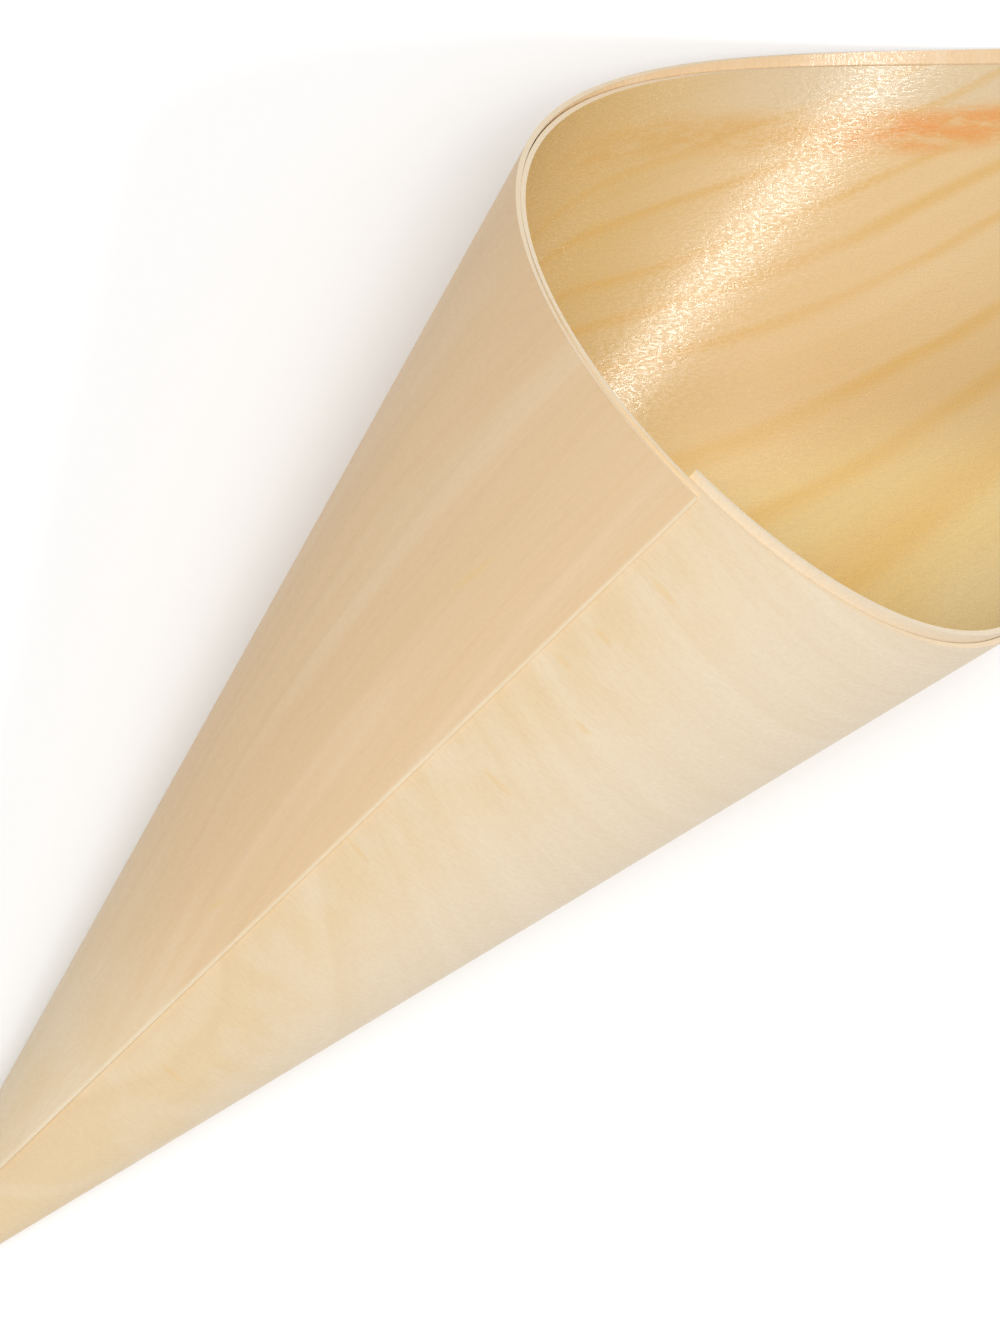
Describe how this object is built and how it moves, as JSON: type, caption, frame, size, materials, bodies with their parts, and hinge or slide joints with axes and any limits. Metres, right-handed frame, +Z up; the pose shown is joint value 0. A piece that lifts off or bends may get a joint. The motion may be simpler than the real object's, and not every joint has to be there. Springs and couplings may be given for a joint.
{
  "type": "wooden food cone",
  "caption": "Cone rolled from one sheet of thin pine veneer, with a slanted mouth and a high pointed back, lying on its side. It holds chips, fruit or other finger food.",
  "frame": {"origin": "bottom centre of the box round the cone as it lies on its side", "axes": "+X from the tip to the mouth along the wall that it lies on, +Z up, +Y to the side from which the outer turn of the sheet comes to the seam"},
  "size_m": [0.1758, 0.0688, 0.0612],
  "materials": {
    "pine_veneer": "bare planed pine veneer, satin, with soft streaks along the grain and small resin marks"
  },
  "bodies": {
    "root": {"veneer_cone": "pine_veneer"}
  },
  "joints": []
}
